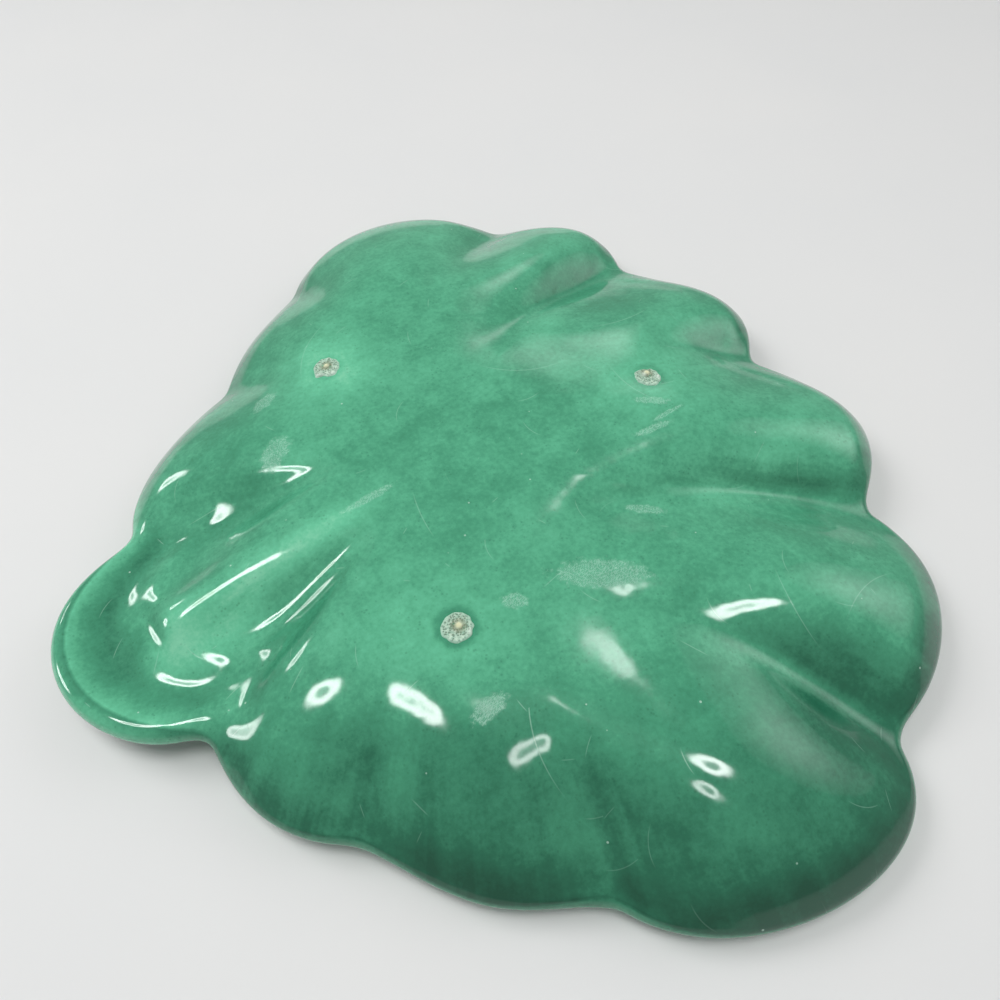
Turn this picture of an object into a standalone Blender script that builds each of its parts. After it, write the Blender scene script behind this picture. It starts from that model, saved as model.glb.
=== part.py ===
"""Scallop-shell trinket dish: one glazed slip-cast ceramic shell with a handle tab.

The dish lies upside down, on its rim, as it was photographed: +Z is up, the handle tab is at -X,
the far lobes of the shell are at +X, and the near side is at -Y. The hollow for the trinkets is
underneath and opens towards -Z. Three stilt marks show on the base, which is on top here.
"""
import math

import bmesh
import bpy
import numpy as np
from mathutils import Vector

MM = 0.001

# The shell's plan: how far it reaches from its centre, handle to far lobes and side to side
HALF_LENGTH = 71.4 * MM
HALF_WIDTH = 82.9 * MM
RIB_AIM = -30.0 * MM  # the ribs of the far lobes run towards here, near the handle's neck
NOTCH_ROUNDING = 1.6 * MM  # how far a notch between two lobes is blunted by the glaze

# The shell's section
WALL = 4.8 * MM  # thickness of the fired clay and its glaze
RIM_ROUND = 2.3 * MM  # rounding of each edge of the rim, which makes it nearly a full round
RIM_ROUND_SHARE = 0.48  # of the wall, which is as much as that rounding can take
RIM_OUTSET_SHARE = 0.39  # of the rounding, which it takes off the plan where the lip slopes down
RIM_SPARE = 1.3 * MM  # by how much the last ring of faces is wider than the rounding
BASE_RISE = 16.0 * MM  # from the middle of the rim's foot to the flat base, the top here
LIP_RUN = 8.0 * MM  # width of the turned-down band along the rim
HANDLE_LIP_RUN = 6.0 * MM
HANDLE_TOP = 9.2 * MM  # height of the handle tab's raised edge
HANDLE_DISH = 2.6 * MM  # how far the tab is hollowed between its edge and the neck
NECK_START = 17.5 * MM  # from the tab's tip to where the neck begins to climb
NECK_RUN = 27.0 * MM  # length of that climb
BASE_FLAT_RADIUS = 14.0 * MM  # the truly flat middle of the base
BASE_BLEND = 14.0 * MM  # the ring round it that leads into the lobes

# Creases that run in from the notches, and the ridge from the handle to the base
CREASE_WIDTH = 3.5 * MM  # at the rim
CREASE_FLARE = 3.0 * MM  # added to the width by the inner end
CREASE_SHARE = 0.42  # how much of the rise above the rim a full crease takes away
CREASE_ROUND_SHARE = 0.3
CREASE_FADE = 1.8  # above 1, a crease grows shallow sooner on its way to the middle
VALLEY_WIDTH = 11.0 * MM  # the broad hollow that each crease runs along
VALLEY_SHARE = 0.34
RIDGE_WIDTH = 5.0 * MM
RIDGE_SHARE = 0.42  # how much of the rise still left to the base the ridge fills

# Stilt marks: discs of bare clay and pin residue in shallow pits of the base
MARK_DIAMETER = 5.2 * MM
MARK_THICKNESS = 0.9 * MM
MARK_PROUD = 0.15 * MM  # how far a disc stands above the glaze
MARK_CHAMFER = 0.25 * MM
MARK_SIDE = 59.0 * MM  # side of the triangle that the three points of the stilt made
MARK_CENTRE = (2.7 * MM, -1.4 * MM)
MARK_TURN_DEG = -1.2
TIP_DIAMETER = 1.6 * MM  # the pin's broken tip in the middle of a disc
TIP_HEIGHT = 0.35 * MM
GAP = 0.3 * MM
CUT_OVERRUN = 2.0 * MM
MERGE_DISTANCE = 0.01 * MM

# Mesh: spokes from the middle to the rim, rings across them, and steps in the rim's rounding
SPOKES = 144
RINGS = 15
RIM_SEGMENTS = 3
RIM_ANGLE_DEG = 55  # only the rim's two edges are sharper than this
RING_POWER = 1.15  # above 1, the rings lie closer together near the rim
MARK_SIDES = 20
LOBE_STEPS = 60
CURVE_STEPS = 40
OVERSAMPLE = 8

# The ribs bend more and more from here on, as shares of HALF_LENGTH
BEND_START_SHARE = -0.4
BEND_RUN_SHARE = 1.2

# Notches, anticlockwise from above: x as a share of HALF_LENGTH, y of HALF_WIDTH, and the height
# of the rim's middle there as a share of BASE_RISE
NOTCH_SHARES = (
    (-0.755, -0.300, 0.36),
    (-0.560, -0.575, 0.27),
    (-0.175, -0.845, 0.24),
    (0.495, -0.850, 0.24),
    (0.810, -0.470, 0.33),
    (0.875, -0.020, 0.39),
    (0.790, 0.435, 0.33),
    (0.540, 0.750, 0.24),
    (-0.165, 0.775, 0.24),
    (-0.465, 0.510, 0.27),
    (-0.795, 0.190, 0.36),
)

# Lobes: the one at each row starts at the notch of that row. The first four are the curve's two
# handles (along and out from the chord, as shares of the chord), then the rim's height in the
# middle, the rise of the lip, both as shares of BASE_RISE, and the run of the shoulder behind
# the lip as a share of HALF_WIDTH
LOBE_SHARES = (
    (0.38, 0.23, 0.23, 0.18, 0.21, 0.15, 0.33),
    (0.49, 0.12, 0.47, 0.16, 0.15, 0.15, 0.33),
    (0.16, 0.36, 0.00, 0.41, 0.15, 0.15, 0.33),
    (0.26, 0.29, 0.16, 0.42, 0.18, 0.20, 0.38),
    (0.32, 0.38, 0.43, 0.39, 0.27, 0.30, 0.46),
    (0.34, 0.48, 0.33, 0.11, 0.27, 0.30, 0.46),
    (0.14, 0.27, 0.52, 0.43, 0.18, 0.30, 0.46),
    (0.29, 0.44, 0.15, 0.34, 0.15, 0.25, 0.44),
    (0.33, 0.12, 0.30, 0.14, 0.15, 0.20, 0.40),
    (0.41, 0.19, 0.18, 0.20, 0.21, 0.18, 0.40),
    (0.18, 0.61, 0.16, 0.45, 0.55, 0.15, 0.40),
)

# Creases: the start, the middle and the end of each one's curve, in shares of HALF_LENGTH and
# HALF_WIDTH, then its strength and its lean: how much steeper the flank on the right of its way
# inwards is than the one on the left. All but the two beside the neck start at a notch
CREASE_SHARES = (
    (-0.80, -0.12, -0.50, -0.22, -0.10, -0.17, 0.60, 0.0),
    (-0.56, -0.575, -0.49, -0.49, -0.26, -0.28, 0.60, 0.0),
    (-0.175, -0.845, -0.19, -0.70, -0.08, -0.38, 0.80, 0.0),
    (0.495, -0.85, 0.36, -0.62, -0.12, -0.28, 1.10, 0.30),
    (0.81, -0.47, 0.45, -0.20, -0.40, -0.24, 1.15, 0.40),
    (0.875, -0.02, 0.70, 0.06, 0.46, 0.05, 0.90, 0.35),
    (0.79, 0.435, 0.45, 0.35, -0.16, 0.10, 1.10, 0.35),
    (0.54, 0.75, 0.33, 0.60, 0.05, 0.36, 0.80, 0.25),
    (-0.165, 0.775, -0.10, 0.64, -0.03, 0.44, 0.50, 0.0),
    (-0.465, 0.51, -0.34, 0.42, -0.20, 0.28, 0.50, 0.0),
    (-0.80, 0.10, -0.55, 0.12, -0.20, 0.12, 0.55, 0.0),
)
RIDGE_SHARES = ((-0.78, -0.07), (-0.12, -0.02))
RIDGE_LEAN = 0.5
MARK_NAMES = ("stilt_mark_far", "stilt_mark_left", "stilt_mark_near")
HANDLE_LOBE = 10


def plan_point(x_share, y_share):
    """A place in plan, from its shares of the two half sizes."""
    return np.array([x_share * HALF_LENGTH, y_share * HALF_WIDTH])


def circular_blur(values, width, step):
    """Average round a closed outline with a bell curve of the given width."""
    reach = math.ceil(3 * width / step)
    offsets = np.arange(-reach, reach + 1)
    weights = np.exp(-0.5 * (offsets * step / width) ** 2)
    weights /= weights.sum()
    total = np.zeros_like(values)
    for offset, weight in zip(offsets, weights):
        total += weight * np.roll(values, offset, axis=0)
    return total


def moved_out(outline, distance):
    """A closed outline, anticlockwise, moved square to itself, inwards if the distance is below 0."""
    along = np.roll(outline, -1, axis=0) - np.roll(outline, 1, axis=0)
    outward = np.column_stack([along[:, 1], -along[:, 0]]) / np.hypot(*along.T)[:, None]
    return outline + distance * outward


def rim_round():
    """Radius of the rounding of the rim's edges, which the wall limits."""
    return min(RIM_ROUND, RIM_ROUND_SHARE * WALL)


def rim_table(count):
    """Points round the rim at even steps: x, y, height, lip rise, shoulder run, handle weight."""
    rows = []
    lobes = len(LOBE_SHARES)
    t = np.arange(LOBE_STEPS)[:, None] / LOBE_STEPS
    for index, lobe in enumerate(LOBE_SHARES):
        start = plan_point(*NOTCH_SHARES[index][:2])
        end = plan_point(*NOTCH_SHARES[(index + 1) % lobes][:2])
        chord = end - start
        outward = np.array([chord[1], -chord[0]])
        first = start + lobe[0] * chord + lobe[1] * outward
        second = end - lobe[2] * chord + lobe[3] * outward
        curve = (1 - t) ** 3 * start + 3 * t * (1 - t) ** 2 * first
        curve = curve + 3 * t ** 2 * (1 - t) * second + t ** 3 * end
        notch_height = (1 - t) * NOTCH_SHARES[index][2] + t * NOTCH_SHARES[(index + 1) % lobes][2]
        height = lobe[4] + (notch_height - lobe[4]) * np.abs(2 * t - 1) ** 3
        constant = np.ones_like(t)
        is_handle = constant * (index == HANDLE_LOBE)
        rows.append(np.hstack([curve, height * BASE_RISE, constant * lobe[5] * BASE_RISE,
                               constant * lobe[6] * HALF_WIDTH, is_handle]))
    table = np.vstack(rows)
    steps = np.hypot(*(np.roll(table[:, :2], -1, axis=0) - table[:, :2]).T)
    travelled = np.concatenate([[0.0], np.cumsum(steps)])
    closed = np.vstack([table, table[:1]])
    fine = OVERSAMPLE * count
    even = np.arange(fine) * travelled[-1] / fine
    table = np.stack([np.interp(even, travelled, column) for column in closed.T], axis=1)
    step = travelled[-1] / fine
    table[:, :3] = circular_blur(table[:, :3], NOTCH_ROUNDING, step)
    table[:, 3:] = circular_blur(table[:, 3:], 3 * NOTCH_ROUNDING, step)
    table = table[::OVERSAMPLE]
    outset = RIM_OUTSET_SHARE * rim_round() * (1 - table[:, 5:])
    table[:, :2] = moved_out(table[:, :2], outset)
    return table


def ease(distance, run):
    """A rise from 0 to 1 that starts steeply and levels out after the run."""
    return 1 - (1 - np.clip(distance / run, 0, 1)) ** 2


def smooth_step(value):
    """A rise from 0 to 1 that starts and ends level."""
    value = np.clip(value, 0, 1)
    return value * value * (3 - 2 * value)


def nearest_on_curve(points, start, middle, end):
    """Distance to a three-point curve, the share of it passed there, and 1 if on its left, else -1."""
    t = np.linspace(0, 1, CURVE_STEPS + 1)[:, None]
    curve = (1 - t) ** 2 * start + 2 * t * (1 - t) * middle + t ** 2 * end
    distance = np.full(len(points), np.inf)
    share = np.zeros(len(points))
    left = np.zeros(len(points))
    for index in range(len(curve) - 1):
        side = curve[index + 1] - curve[index]
        offset = points - curve[index]
        along = np.clip(offset @ side / (side @ side), 0, 1)
        gap = np.hypot(*(offset - along[:, None] * side).T)
        closer = gap < distance
        distance = np.where(closer, gap, distance)
        share = np.where(closer, (index + along) / (len(curve) - 1), share)
        left = np.where(closer, np.sign(side[0] * offset[:, 1] - side[1] * offset[:, 0]), left)
    return distance, share, left


def outer_height(points, rim, inward):
    """Height of the glazed outer face at points that lie inward of their points on the rim."""
    lip = rim[:, 3] * ease(inward, LIP_RUN)
    shoulder = (BASE_RISE - rim[:, 2] - rim[:, 3]) * ease(inward, rim[:, 4])
    body = rim[:, 2] + lip + shoulder
    tab_lip = (HANDLE_TOP - rim[:, 2]) * ease(inward, HANDLE_LIP_RUN)
    tab_dish = HANDLE_DISH * np.sin(math.pi * np.clip(inward / NECK_START, 0, 1)) ** 2
    neck = (BASE_RISE - HANDLE_TOP) * smooth_step((inward - NECK_START) / NECK_RUN)
    tab = rim[:, 2] + tab_lip - tab_dish + neck
    height = body + (tab - body) * rim[:, 5]

    for crease in CREASE_SHARES:
        distance, share, left = nearest_on_curve(points, plan_point(*crease[:2]),
                                                 plan_point(*crease[2:4]), plan_point(*crease[4:6]))
        distance = distance / (1 + crease[7] * left)
        width = CREASE_WIDTH + CREASE_FLARE * share
        sharp = np.exp(CREASE_ROUND_SHARE - np.hypot(distance / width, CREASE_ROUND_SHARE))
        broad = np.exp(-(distance / VALLEY_WIDTH) ** 2)
        depth = crease[6] * smooth_step(1 - share) ** CREASE_FADE
        taken = depth * (CREASE_SHARE * sharp + VALLEY_SHARE * broad)
        height = rim[:, 2] + (height - rim[:, 2]) * (1 - taken)

    start, end = (plan_point(*pair) for pair in RIDGE_SHARES)
    distance, share, _ = nearest_on_curve(points, start, 0.5 * (start + end), end)
    crest = np.exp(-(distance / RIDGE_WIDTH) ** 2) * np.sin(math.pi * share ** RIDGE_LEAN)
    height = height + (BASE_RISE - height) * RIDGE_SHARE * crest

    from_middle = np.hypot(points[:, 0], points[:, 1])
    kept = smooth_step((from_middle - BASE_FLAT_RADIUS) / BASE_BLEND)
    return BASE_RISE + (height - BASE_RISE) * kept


def outer_ring(outline, passed, rim):
    """Places on the outer face, one on each spoke, at a share of the way to an outline."""
    bend = smooth_step((outline[:, 0] / HALF_LENGTH - BEND_START_SHARE) / BEND_RUN_SHARE)
    aim = np.column_stack([RIB_AIM * bend, np.zeros(len(rim))])
    points = passed * outline + (1 - passed) * passed * aim
    inward = np.hypot(*(rim[:, :2] - points).T)
    return np.column_stack([points, outer_height(points, rim, inward)])


def outer_face(name, spokes, rings):
    """The upper half of a sphere, open at its equator, drawn out into the glazed outer face."""
    rim = rim_table(spokes)
    band = moved_out(rim[:, :2], -(rim_round() + RIM_SPARE))
    places = []
    for ring in range(rings):
        passed = 1 - (1 - ring / (rings - 1)) ** RING_POWER
        places.append(outer_ring(band, passed, rim))
    places.append(outer_ring(rim[:, :2], 1.0, rim))

    ball = bmesh.new()
    bmesh.ops.create_uvsphere(ball, u_segments=spokes, v_segments=2 * rings, radius=1.0)
    drops = {vertex: math.acos(max(-1.0, min(1.0, vertex.co.z))) / (math.pi / 2) * rings
             for vertex in ball.verts}
    lower = [vertex for vertex in ball.verts if round(drops[vertex]) > rings]
    bmesh.ops.delete(ball, geom=lower, context="VERTS")
    for vertex in ball.verts:
        turn = math.atan2(vertex.co.y, vertex.co.x) / (2 * math.pi)
        vertex.co = places[round(drops[vertex])][round(turn * spokes) % spokes]
    mesh = bpy.data.meshes.new(name)
    ball.to_mesh(mesh)
    ball.free()
    return mesh


def material(name, colour, roughness, coat=0.0):
    made = bpy.data.materials.new(name)
    made.use_nodes = True
    shader = made.node_tree.nodes["Principled BSDF"]
    shader.inputs["Base Color"].default_value = (*colour, 1.0)
    shader.inputs["Roughness"].default_value = roughness
    shader.inputs["Metallic"].default_value = 0.0
    shader.inputs["Coat Weight"].default_value = coat
    return made


def clear_scene():
    for old in list(bpy.data.objects):
        bpy.data.objects.remove(old, do_unlink=True)


def collection(name):
    made = bpy.data.collections.new(name)
    bpy.context.scene.collection.children.link(made)
    return made


def add_dish(parts):
    """The shell: its outer face, thickened inwards, with both edges of the rim rounded."""
    dish = bpy.data.objects.new("dish_shell", outer_face("dish_shell", SPOKES, RINGS))
    parts.objects.link(dish)
    thicken = dish.modifiers.new("wall", "SOLIDIFY")
    thicken.thickness = WALL
    thicken.offset = -1.0
    rounding = dish.modifiers.new("rim", "BEVEL")
    rounding.limit_method = "ANGLE"
    rounding.angle_limit = math.radians(RIM_ANGLE_DEG)
    rounding.width = rim_round()
    rounding.segments = RIM_SEGMENTS
    rounding.use_clamp_overlap = False
    dish.data.materials.append(material("green_glaze", (0.045, 0.28, 0.155), 0.08, 1.0))
    bpy.context.view_layer.update()
    return dish


def glaze_place(dish, x, y):
    """The place on the outer face above a point in plan, and the way that the face looks there."""
    found, place, normal, face = dish.ray_cast(Vector((x, y, 2 * BASE_RISE)), Vector((0, 0, -1)))
    return place, normal


def add_turned(name, profile, target):
    """A solid turned about its own Z axis from a profile of (radius, height) pairs."""
    mesh = bpy.data.meshes.new(name)
    edges = [(index, index + 1) for index in range(len(profile) - 1)]
    mesh.from_pydata([(radius, 0.0, height) for radius, height in profile], edges, [])
    made = bpy.data.objects.new(name, mesh)
    target.objects.link(made)
    turn = made.modifiers.new("turn", "SCREW")
    turn.steps = MARK_SIDES
    turn.render_steps = MARK_SIDES
    turn.use_merge_vertices = True
    turn.merge_threshold = MERGE_DISTANCE
    turn.use_smooth_shade = False
    return made


def add_mark(name, place, normal, dish, parts, cutters):
    """One stilt mark, lying in a pit that it cuts in the glaze."""
    radius = MARK_DIAMETER / 2
    top = MARK_PROUD
    bottom = MARK_PROUD - MARK_THICKNESS
    mark = add_turned(name, ((0.0, top + TIP_HEIGHT), (TIP_DIAMETER / 2, top),
                             (radius - MARK_CHAMFER, top), (radius, top - MARK_CHAMFER),
                             (radius, bottom), (0.0, bottom)), parts)
    mark.data.materials.append(bpy.data.materials["bare_clay"])
    pit = add_turned(name + "_pit", ((0.0, top + CUT_OVERRUN), (radius + GAP, top + CUT_OVERRUN),
                                     (radius + GAP, bottom - GAP), (0.0, bottom - GAP)), cutters)
    pit.hide_render = True
    pit.display_type = "WIRE"
    for piece in (mark, pit):
        piece.location = place
        piece.rotation_mode = "QUATERNION"
        piece.rotation_quaternion = normal.to_track_quat("Z", "Y")
    cut = dish.modifiers.new(name, "BOOLEAN")
    cut.operation = "DIFFERENCE"
    cut.solver = "EXACT"
    cut.object = pit
    return mark, pit


def settle(dish, others):
    """Move everything so that the shell rests on z = 0 with its box centred on x and y."""
    bpy.context.view_layer.update()
    view = bpy.context.evaluated_depsgraph_get()
    final = dish.evaluated_get(view).to_mesh()
    corners = np.array([vertex.co for vertex in final.vertices])
    low = corners.min(axis=0)
    high = corners.max(axis=0)
    shift = Vector((-(low[0] + high[0]) / 2, -(low[1] + high[1]) / 2, -low[2]))
    for piece in (dish, *others):
        piece.location += shift
    bpy.context.view_layer.update()
    print("shell size mm:", np.round((high - low) / MM, 2))
    print("moved by mm:", np.round(np.array(shift) / MM, 2))
    return shift


def main():
    clear_scene()
    parts = collection("trinket_dish")
    cutters = collection("cutters")
    material("bare_clay", (0.55, 0.50, 0.38), 0.85)
    dish = add_dish(parts)
    places = []
    for index in range(len(MARK_NAMES)):
        angle = math.radians(MARK_TURN_DEG) + index * 2 * math.pi / len(MARK_NAMES)
        reach = MARK_SIDE / math.sqrt(3)
        places.append(glaze_place(dish, MARK_CENTRE[0] + reach * math.cos(angle),
                                  MARK_CENTRE[1] + reach * math.sin(angle)))
    pieces = []
    for name, (place, normal) in zip(MARK_NAMES, places):
        pieces.extend(add_mark(name, place, normal, dish, parts, cutters))
    return settle(dish, pieces)


main()
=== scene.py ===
import math

import bpy
import numpy as np
from mathutils import Matrix, Vector


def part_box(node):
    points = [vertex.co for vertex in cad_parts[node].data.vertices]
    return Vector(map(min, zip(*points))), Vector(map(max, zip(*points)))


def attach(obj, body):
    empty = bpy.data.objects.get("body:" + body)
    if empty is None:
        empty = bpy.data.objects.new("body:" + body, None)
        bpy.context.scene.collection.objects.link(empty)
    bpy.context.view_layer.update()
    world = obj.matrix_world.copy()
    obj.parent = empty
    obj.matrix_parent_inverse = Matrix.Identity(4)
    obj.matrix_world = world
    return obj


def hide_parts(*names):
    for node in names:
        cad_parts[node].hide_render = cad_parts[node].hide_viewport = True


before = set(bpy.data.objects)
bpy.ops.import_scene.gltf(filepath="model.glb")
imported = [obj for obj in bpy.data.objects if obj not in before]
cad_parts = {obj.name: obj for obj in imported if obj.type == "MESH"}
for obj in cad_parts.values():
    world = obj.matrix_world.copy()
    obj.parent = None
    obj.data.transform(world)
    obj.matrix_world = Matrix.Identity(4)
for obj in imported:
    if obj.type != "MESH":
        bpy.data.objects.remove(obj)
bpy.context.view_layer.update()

# Looks of the scallop-shell trinket dish, which lies upside down on its rim, as photographed. The
# shell is drawn again from the sizes of the part's source with a much finer mesh, because a glossy
# glaze shows every facet. Rough crusts laid on it stand for the stilt marks.

MM = 0.001

# The shell's plan and section, with the names of the part's source
SHIFT = np.array((0.67, 3.03, 0.253)) * MM  # from the shell's own plan to the part's frame
HALF_LENGTH = 71.4 * MM
HALF_WIDTH = 82.9 * MM
RIB_AIM = -30.0 * MM
NOTCH_ROUNDING = 1.6 * MM
WALL = 4.8 * MM
RIM_ROUND = 2.3 * MM
RIM_OUTSET_SHARE = 0.39
BASE_RISE = 16.0 * MM
LIP_RUN = 8.0 * MM
HANDLE_LIP_RUN = 6.0 * MM
HANDLE_TOP = 9.2 * MM
HANDLE_DISH = 2.6 * MM
NECK_START = 17.5 * MM
NECK_RUN = 27.0 * MM
BASE_FLAT_RADIUS = 14.0 * MM
BASE_BLEND = 14.0 * MM
CREASE_WIDTH = 3.5 * MM
CREASE_FLARE = 3.0 * MM
CREASE_SHARE = 0.42
CREASE_FADE = 1.8
CREASE_ROUND_SHARE = 0.3
VALLEY_WIDTH = 11.0 * MM
VALLEY_SHARE = 0.34
RIDGE_LEAN = 0.5
BEND_START_SHARE = -0.4
BEND_RUN_SHARE = 1.2
HANDLE_LOBE = 10

# Finer forms than the solid has: a narrower ridge, and a faint line behind the far lobes' lip
RIDGE_WIDTH = 4.4 * MM
RIDGE_SHARE = 0.46
LIP_LINE = 0.3 * MM
LIP_LINE_WIDTH = 1.6 * MM
LIP_LINE_SHARES = (0.20, 0.30)  # rises of the lip, as shares of BASE_RISE, at which it starts and is full

# Mesh: spokes round the shell, rings on each face, and how often heights are averaged
SPOKES = 576
RINGS = 84
HOLLOW_RINGS = 36
RIM_STEPS = 14
RING_POWER = 1.3  # above 1, the rings lie closer together near the rim
LOBE_STEPS = 120
CURVE_STEPS = 80
OVERSAMPLE = 6
SLOPE_STEP = 0.2 * MM
INSET_BLUR_SPOKES = 4
OUTER_PASSES = 3
HOLLOW_PASSES = 2
HUMP_PASSES = 60

# Notches of the plan: shares of HALF_LENGTH and HALF_WIDTH, and the rim's height there
NOTCH_SHARES = (
    (-0.755, -0.300, 0.36), (-0.560, -0.575, 0.27), (-0.175, -0.845, 0.24),
    (0.495, -0.850, 0.24), (0.810, -0.470, 0.33), (0.875, -0.020, 0.39),
    (0.790, 0.435, 0.33), (0.540, 0.750, 0.24), (-0.165, 0.775, 0.24),
    (-0.465, 0.510, 0.27), (-0.795, 0.190, 0.36),
)
# Lobes: two curve handles, the rim's height, the lip's rise and the shoulder's run
LOBE_SHARES = (
    (0.38, 0.23, 0.23, 0.18, 0.21, 0.15, 0.33), (0.49, 0.12, 0.47, 0.16, 0.15, 0.15, 0.33),
    (0.16, 0.36, 0.00, 0.41, 0.15, 0.15, 0.33), (0.26, 0.29, 0.16, 0.42, 0.18, 0.20, 0.38),
    (0.32, 0.38, 0.43, 0.39, 0.27, 0.30, 0.46), (0.34, 0.48, 0.33, 0.11, 0.27, 0.30, 0.46),
    (0.14, 0.27, 0.52, 0.43, 0.18, 0.30, 0.46), (0.29, 0.44, 0.15, 0.34, 0.15, 0.25, 0.44),
    (0.33, 0.12, 0.30, 0.14, 0.15, 0.20, 0.40), (0.41, 0.19, 0.18, 0.20, 0.21, 0.18, 0.40),
    (0.18, 0.61, 0.16, 0.45, 0.55, 0.15, 0.40),
)
# Creases: start, middle and end of each one's curve, its strength and its lean to the right
CREASE_SHARES = (
    (-0.80, -0.12, -0.50, -0.22, -0.10, -0.17, 0.60, 0.0),
    (-0.56, -0.575, -0.49, -0.49, -0.26, -0.28, 0.60, 0.0),
    (-0.175, -0.845, -0.19, -0.70, -0.08, -0.38, 0.80, 0.0),
    (0.495, -0.85, 0.36, -0.62, -0.12, -0.28, 1.10, 0.30),
    (0.81, -0.47, 0.45, -0.20, -0.40, -0.24, 1.15, 0.40),
    (0.875, -0.02, 0.70, 0.06, 0.46, 0.05, 0.90, 0.35),
    (0.79, 0.435, 0.45, 0.35, -0.16, 0.10, 1.10, 0.35),
    (0.54, 0.75, 0.33, 0.60, 0.05, 0.36, 0.80, 0.25),
    (-0.165, 0.775, -0.10, 0.64, -0.03, 0.44, 0.50, 0.0),
    (-0.465, 0.51, -0.34, 0.42, -0.20, 0.28, 0.50, 0.0),
    (-0.80, 0.10, -0.55, 0.12, -0.20, 0.12, 0.55, 0.0),
)
RIDGE_SHARES = ((-0.78, -0.07), (-0.12, -0.02))

# Stilt marks: the crust's size, and its heights above the glaze in mm
MARK_NODES = ("stilt_mark_far", "stilt_mark_left", "stilt_mark_near")
MARK_RADIUS = 2.5 * MM
MARK_RINGS = 30
MARK_SPOKES = 108
MARK_SINK = 0.5 * MM  # how deep its hidden lower side reaches
MARK_SEED = 7
MARK_TUCK = 0.06  # how far its edge dips under the glaze
RAGGED_SHARE = 0.010
RAGGED_WAVES = range(5, 13)
CRUST_LIFT = 0.17
CRUST_WAVE = 0.05
CRUST_WAVE_TURNS = (2900, 2500)  # radians to a metre, along x and y
CRUST_GRIT = 0.03
CRUST_BRIM = 0.05
TIP_LIFT = 0.22
PIT_DEPTH = 0.13
LUMP_LIFT = 0.14
# Outlines of the marks: for each bump or chip its direction in degrees, its size as a share of the
# radius and its width in degrees; then where the pin's tip is and where whitish lumps are, in mm
MARK_FORMS = {
    "stilt_mark_far": (((75, -0.24, 40), (275, 0.06, 26), (0, -0.06, 40), (180, -0.06, 40)), (0.35, 0.75),
                       ((-0.2, 0.7), (1.6, -1.0))),
    "stilt_mark_left": (((240, -0.13, 14), (205, 0.12, 16), (280, 0.12, 16), (100, 0.08, 40)), (0.1, 0.35),
                        ((-2.1, -1.2), (-1.4, -1.7), (0.5, -2.2))),
    "stilt_mark_near": (((200, -0.04, 30), (120, -0.09, 40)), (0.40, 0.10), ((1.5, -1.6),)),
}

# The glaze round the far, the left and the near mark: a light halo, and at the edge a dark ring, partly
# pooled glaze and partly painted shade
HALO_REACH = 8.0 * MM
HALO_SHARES = (0.20, 0.30, 0.13)
POOL_AND_SHADE_SHARES = (0.14, 0.12, 0.22)
POOL_AND_SHADE_REACH = 1.5 * MM

# Rubbed patches of the glaze, in mm in the part's frame: middle, half length, half width, turn
RUBS = (
    ((-17.0, -0.1), 5.5, 0.9, 0.12),
    ((-27.6, 16.8), 4.2, 2.6, 0.75),
    ((-25.7, 31.0), 3.4, 2.0, 0.60),
    ((34.6, -4.6), 3.6, 1.0, -0.55),
    ((31.0, -9.9), 4.6, 0.8, -0.05),
    ((35.2, -8.3), 4.0, 0.5, 0.10),
    ((-4.9, -27.7), 2.4, 1.3, -0.45),
    ((9.0, -29.6), 8.5, 2.9, -0.48),
    ((22.0, -22.0), 3.6, 1.1, -0.55),
    ((-15.5, -40.2), 3.4, 1.6, 0.20),
)
# Spots drawn lighter or darker, partly thin and thick glaze and partly painted light and shade: middle, half
# length, half width, turn, and by how much
TONE_SPOTS = (
    ((-53.0, -7.0), 6.0, 4.5, 0.50, 0.32),
    ((-42.0, -7.0), 8.0, 4.0, 0.25, 0.24),
    ((-30.0, -2.5), 12.0, 2.3, 0.15, 0.24),
    ((22.9, -51.4), 9.0, 2.0, -0.72, 0.16),
    ((-29.5, -41.0), 7.0, 2.6, 1.10, 0.14),
    ((-9.8, -58.0), 8.5, 4.2, 1.50, 0.17),
    ((48.0, -24.0), 15.0, 6.0, -0.20, 0.10),
    ((34.0, -23.0), 12.0, 3.5, -0.10, 0.08),
    ((28.0, 22.0), 9.0, 4.0, 0.55, 0.10),
    ((-37.0, 25.0), 14.0, 8.0, 0.90, -0.09),
    ((46.0, 22.0), 9.0, 7.0, 0.60, -0.08),
)

# Colours of the glaze by its tone, from dark at 0 to pale at 1: thick to thin glaze, and painted shade to
# painted light
DEEP_GREEN = (0.010, 0.085, 0.046)
GLAZE_RAMP = (
    (0.0, DEEP_GREEN),
    (0.25, (0.020, 0.150, 0.082)),
    (0.52, (0.058, 0.300, 0.170)),
    (0.78, (0.130, 0.520, 0.310)),
    (1.0, (0.260, 0.660, 0.440)),
)
PINHOLE_GREEN = (0.50, 0.74, 0.62)
RUBBED_GREEN = (0.42, 0.68, 0.56)
SCRATCH_GREEN = (0.34, 0.62, 0.48)
# Mottling of the glaze: the pattern's size, detail, roughness and warp, and how far it shifts the tone
CLOUDS = (15.0 * MM, 3.0, 0.55, 0.6, 0.28)
PATCHES = (4.5 * MM, 3.0, 0.60, 0.4, 0.26)
GRAIN = (0.8 * MM, 3.0, 0.65, 0.0, 0.26)
RUNS = (330.0, 30.0, 1.0)  # streaks down the walls: their scale round the shell and outwards
RUNS_SHARE = 0.55
RUNS_RADIUS = 70.0 * MM  # of the circle that turns an angle round the shell into a length
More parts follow.
